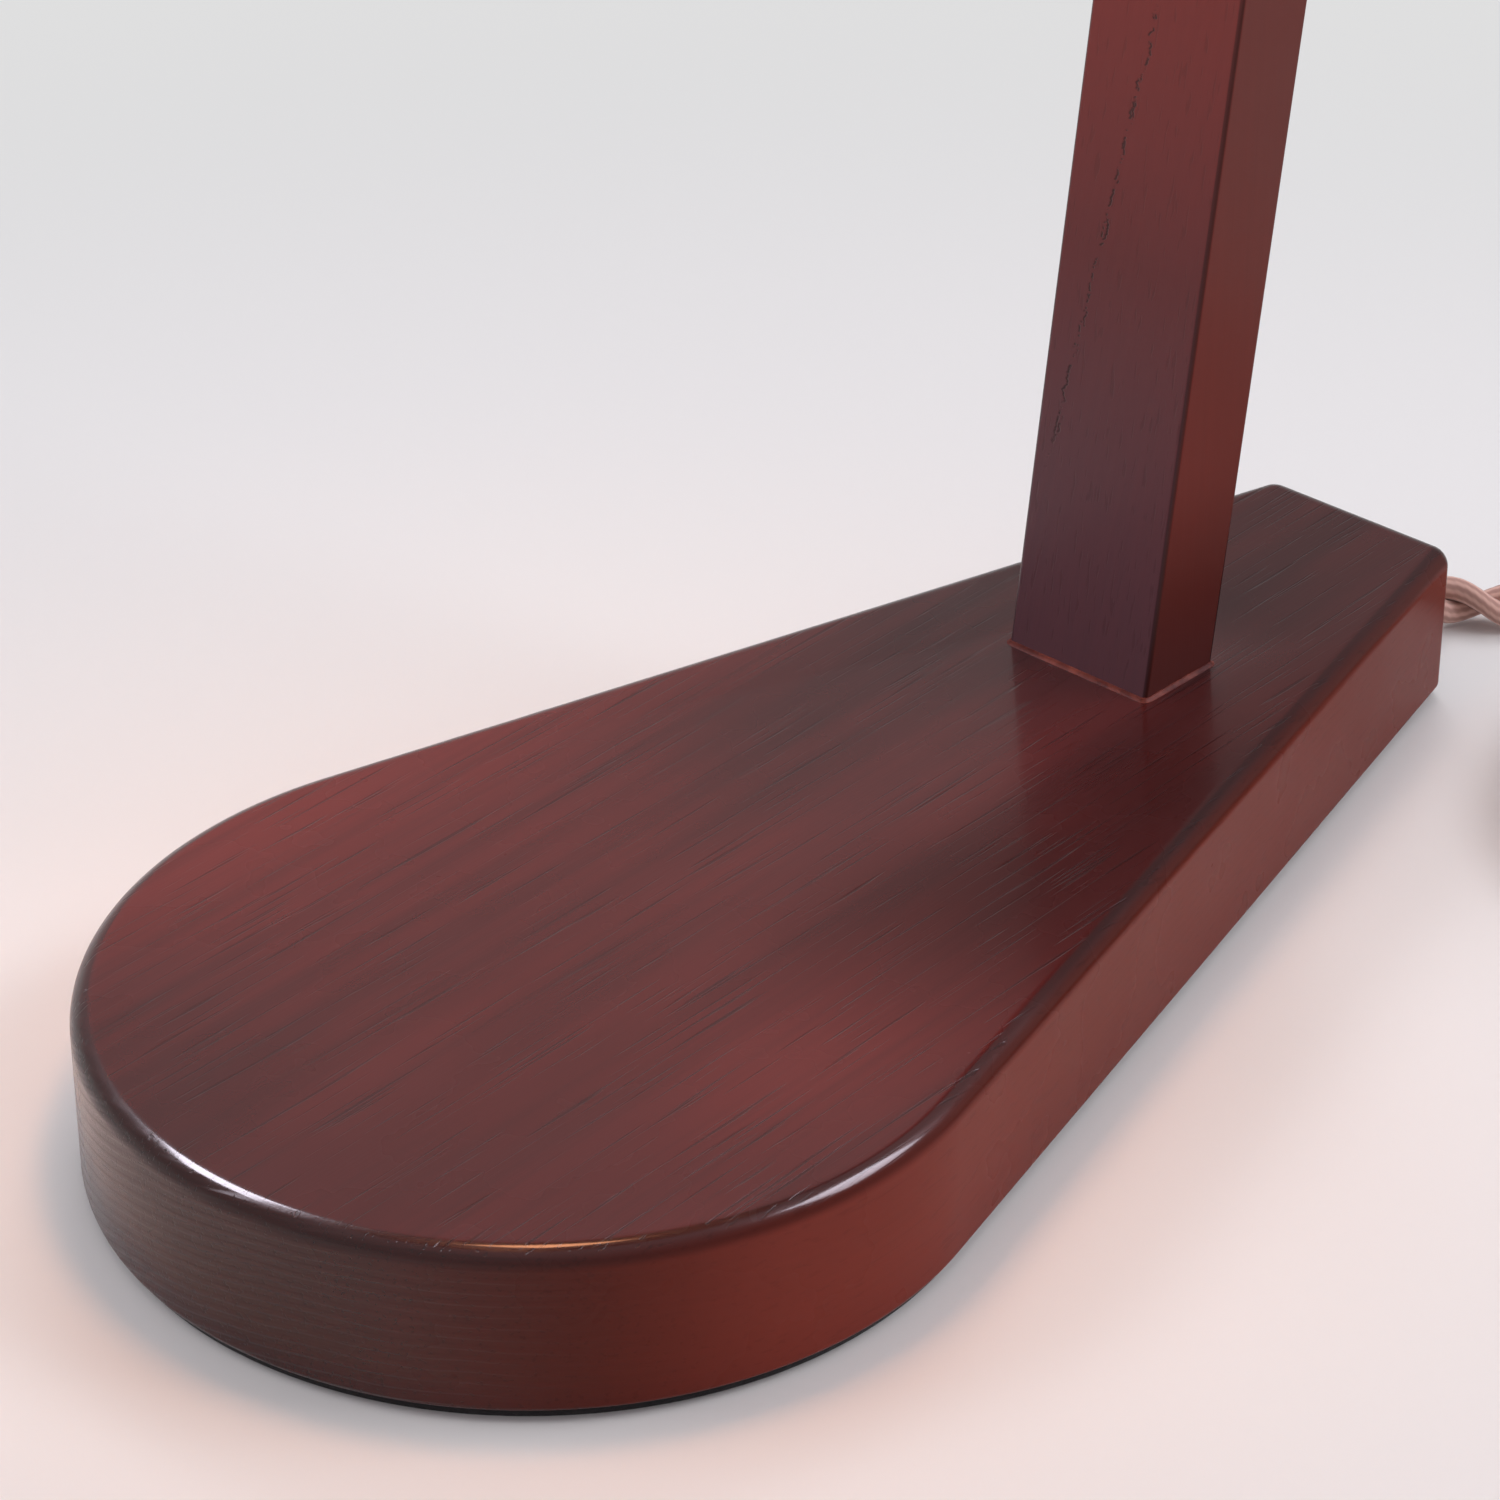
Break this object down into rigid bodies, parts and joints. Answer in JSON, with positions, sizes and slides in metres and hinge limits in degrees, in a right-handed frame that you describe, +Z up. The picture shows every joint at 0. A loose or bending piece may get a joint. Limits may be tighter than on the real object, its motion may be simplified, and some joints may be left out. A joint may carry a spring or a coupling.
{
  "type": "table lamp",
  "caption": "Table lamp with a teardrop hardwood base, a leaning square stem, a forward arm, and a conical linen shade that tilts on a brass knuckle above a pull-chain lamp holder.",
  "frame": {"origin": "centre of the base's round front on the table plane, straight below the shade's axis", "axes": "+Z up; +Y from the round front to the flat back, where the cord leaves; +X to the right when the lamp is seen from its round front looking along +Y"},
  "size_m": [0.2971, 0.341, 0.4449],
  "materials": {
    "lacquered_wood": "dark red-brown stained hardwood under satin lacquer, open grain lines",
    "wood_dowel": "stained dowel ends under the same lacquer",
    "dark_webbing": "woven cotton strap, near black",
    "felt": "thin dark wool felt",
    "cast_iron": "machined disc with a dull grey skin",
    "steel": "zinc-plated wood screws",
    "brass": "satin aged brass",
    "rubber": "matte black rubber",
    "bakelite": "dark brown moulded resin, glossy",
    "porcelain": "glazed off-white porcelain",
    "fibre": "brown insulating fibre sleeve",
    "linen": "ivory linen laminated to a stiff backing",
    "opal_glass": "opal white glass",
    "plated_wire": "brass-plated steel wire and sheet",
    "rose_cotton": "dusty rose braided cotton over two twisted wires"
  },
  "bodies": {
    "stand": {"base_felt": "felt", "base_board": "lacquered_wood", "base_weight": "cast_iron", "weight_screw_1": "steel", "weight_screw_2": "steel", "weight_screw_3": "steel", "cord_bush": "rubber", "cord_clamp": "brass", "clamp_screw_left": "steel", "clamp_screw_right": "steel", "inner_strand_left": "rose_cotton", "inner_strand_right": "rose_cotton", "stem": "lacquered_wood", "stem_cover_strip": "lacquered_wood", "stem_screw_left": "steel", "stem_screw_right": "steel", "arm": "lacquered_wood", "arm_cover_strip": "lacquered_wood", "elbow_dowel_left": "wood_dowel", "elbow_dowel_right": "wood_dowel", "hanger_nipple": "brass", "hanger_washer": "brass", "hanger_cap_nut": "brass", "hanger_collar": "brass", "swivel_upper": "brass", "tilt_screw": "brass", "tilt_thumb_nut": "brass", "cord_run": "rose_cotton", "cord_coil": "rose_cotton", "cord_tie": "dark_webbing", "plug_body": "bakelite", "plug_blade_left": "plated_wire", "plug_blade_right": "plated_wire"},
    "head": {"swivel_lower": "brass", "holder_cap": "brass", "holder_shell": "brass", "holder_liner": "fibre", "socket_base": "porcelain", "switch_block": "bakelite", "screw_shell": "plated_wire", "centre_contact": "brass", "shade_carrier": "bakelite", "shade_ring_nut": "bakelite", "chain_outlet": "brass", "bulb_glass": "opal_glass", "bulb_cap": "plated_wire", "bulb_tip": "plated_wire", "shade_panel": "linen", "shade_trim_top": "linen", "shade_trim_bottom": "linen", "shade_bottom_wire": "plated_wire", "shade_spider": "plated_wire"},
    "pull": {"pull_chain": "brass", "pull_bell": "brass"}
  },
  "joints": [
    {"name": "shade_tilt", "type": "hinge", "parent": "stand", "child": "head", "pos_m": [0, 0, 0.39723], "axis": [1, 0, 0], "range_deg": [-45, 8]},
    {"name": "pull_switch", "type": "slide", "parent": "head", "child": "pull", "axis": [0, 0, -1], "range_m": [0, 0.006], "stiffness_N_per_m": 600}
  ]
}
